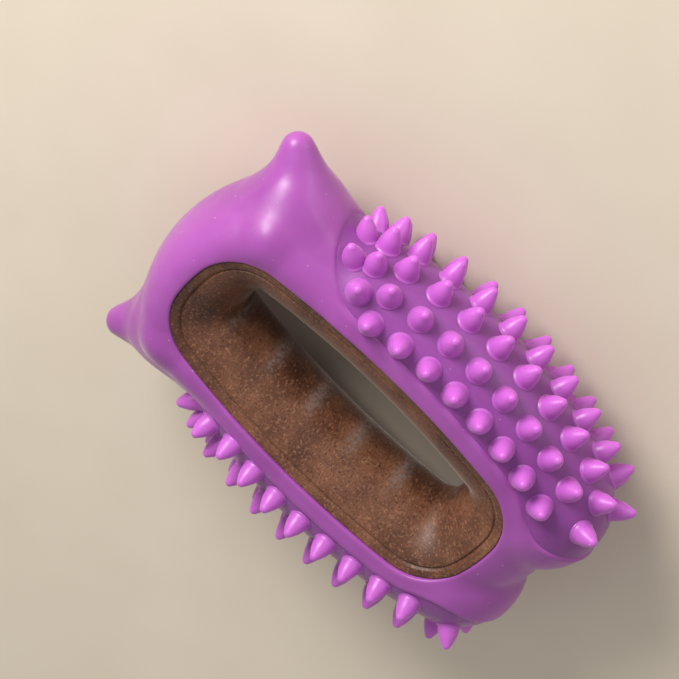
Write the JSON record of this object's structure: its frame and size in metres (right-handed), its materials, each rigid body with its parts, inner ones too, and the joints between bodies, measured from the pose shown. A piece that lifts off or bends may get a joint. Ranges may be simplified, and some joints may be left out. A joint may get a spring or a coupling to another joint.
{
  "type": "pet dental chew brush",
  "caption": "Ring-shaped dog chew brush: wood-composite ring round a finger slot, purple rubber lobes with spiked pads, smooth flared grip.",
  "frame": {"origin": "middle of the finger slot, halfway through its depth, which is also the middle of the bounding box", "axes": "+X along the slot towards the nose, +Y towards the right lobe, +Z along the slot's own axis"},
  "size_m": [0.13, 0.0938, 0.0434],
  "materials": {
    "wood_composite": "satin",
    "purple_rubber": "satin",
    "pink_rubber": "satin"
  },
  "bodies": {
    "root": {"core_ring": "wood_composite", "right_lobe": "purple_rubber", "left_lobe": "purple_rubber", "right_spike_pad": "pink_rubber", "left_spike_pad": "pink_rubber", "nose_bumper": "purple_rubber", "handle_grip": "purple_rubber"}
  },
  "joints": []
}
